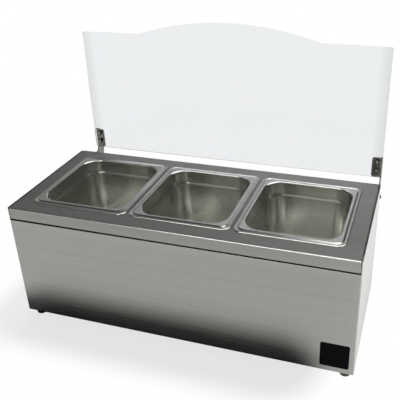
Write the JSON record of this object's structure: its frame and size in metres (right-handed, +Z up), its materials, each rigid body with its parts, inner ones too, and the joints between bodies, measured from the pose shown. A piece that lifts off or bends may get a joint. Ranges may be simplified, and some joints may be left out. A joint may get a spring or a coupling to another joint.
{
  "type": "condiment server",
  "caption": "Counter-top condiment server: brushed stainless cabinet on black feet, drawn steel pans in its deck and a clear hinged lid with an arched edge.",
  "frame": {"origin": "on the counter, under the middle of the whole server with its lid open, 33 mm behind the cabinet's middle", "axes": "+X to the right along the front, -Y towards the user, +Z up"},
  "size_m": [0.5376, 0.292, 0.436],
  "materials": {
    "stainless_sheet": "brushed",
    "drawn_stainless": "satin drawn",
    "clear_acrylic": "clear, polished edges",
    "hinge_steel": "mill",
    "fastener_steel": "turned",
    "rivet_aluminium": "satin",
    "white_nylon": "matte",
    "black_rubber": "matte",
    "badge_face": "gloss"
  },
  "bodies": {
    "cabinet": {"back_panel": "stainless_sheet", "back_rivets": "rivet_aluminium", "badge_plate": "badge_face", "base_plate": "stainless_sheet", "bracket_rivets": "rivet_aluminium", "cabinet_wrap": "stainless_sheet", "deck": "stainless_sheet", "deck_screws": "fastener_steel", "foot_front_left": "black_rubber", "foot_front_right": "black_rubber", "foot_nuts": "fastener_steel", "foot_rear_left": "black_rubber", "foot_rear_right": "black_rubber", "foot_screws": "fastener_steel", "hinge_bracket_left": "hinge_steel", "hinge_bracket_right": "hinge_steel", "pivot_bolt_left": "fastener_steel", "pivot_bolt_right": "fastener_steel", "pivot_nut_left": "fastener_steel", "pivot_nut_right": "fastener_steel", "pivot_spacer_left": "white_nylon", "pivot_spacer_right": "white_nylon", "pivot_washer_left": "fastener_steel", "pivot_washer_right": "fastener_steel"},
    "lid": {"lid_panel": "clear_acrylic", "hinge_arm_left": "hinge_steel", "hinge_arm_right": "hinge_steel", "lid_screws": "fastener_steel", "lid_washers": "black_rubber", "lid_nuts": "fastener_steel"},
    "pan_left": {"pan_left": "drawn_stainless"},
    "pan_centre": {"pan_centre": "drawn_stainless"},
    "pan_right": {"pan_right": "drawn_stainless"}
  },
  "joints": [
    {"name": "lid_hinge", "type": "hinge", "parent": "cabinet", "child": "lid", "pos_m": [0, 0.0925, 0.1765], "axis": [-1, 0, 0], "range_deg": [-90, 0]},
    {"name": "pan_left_lift", "type": "slide", "parent": "cabinet", "child": "pan_left", "axis": [0, 0, 1], "range_m": [0, 0.13]},
    {"name": "pan_centre_lift", "type": "slide", "parent": "cabinet", "child": "pan_centre", "axis": [0, 0, 1], "range_m": [0, 0.13]},
    {"name": "pan_right_lift", "type": "slide", "parent": "cabinet", "child": "pan_right", "axis": [0, 0, 1], "range_m": [0, 0.13]}
  ]
}
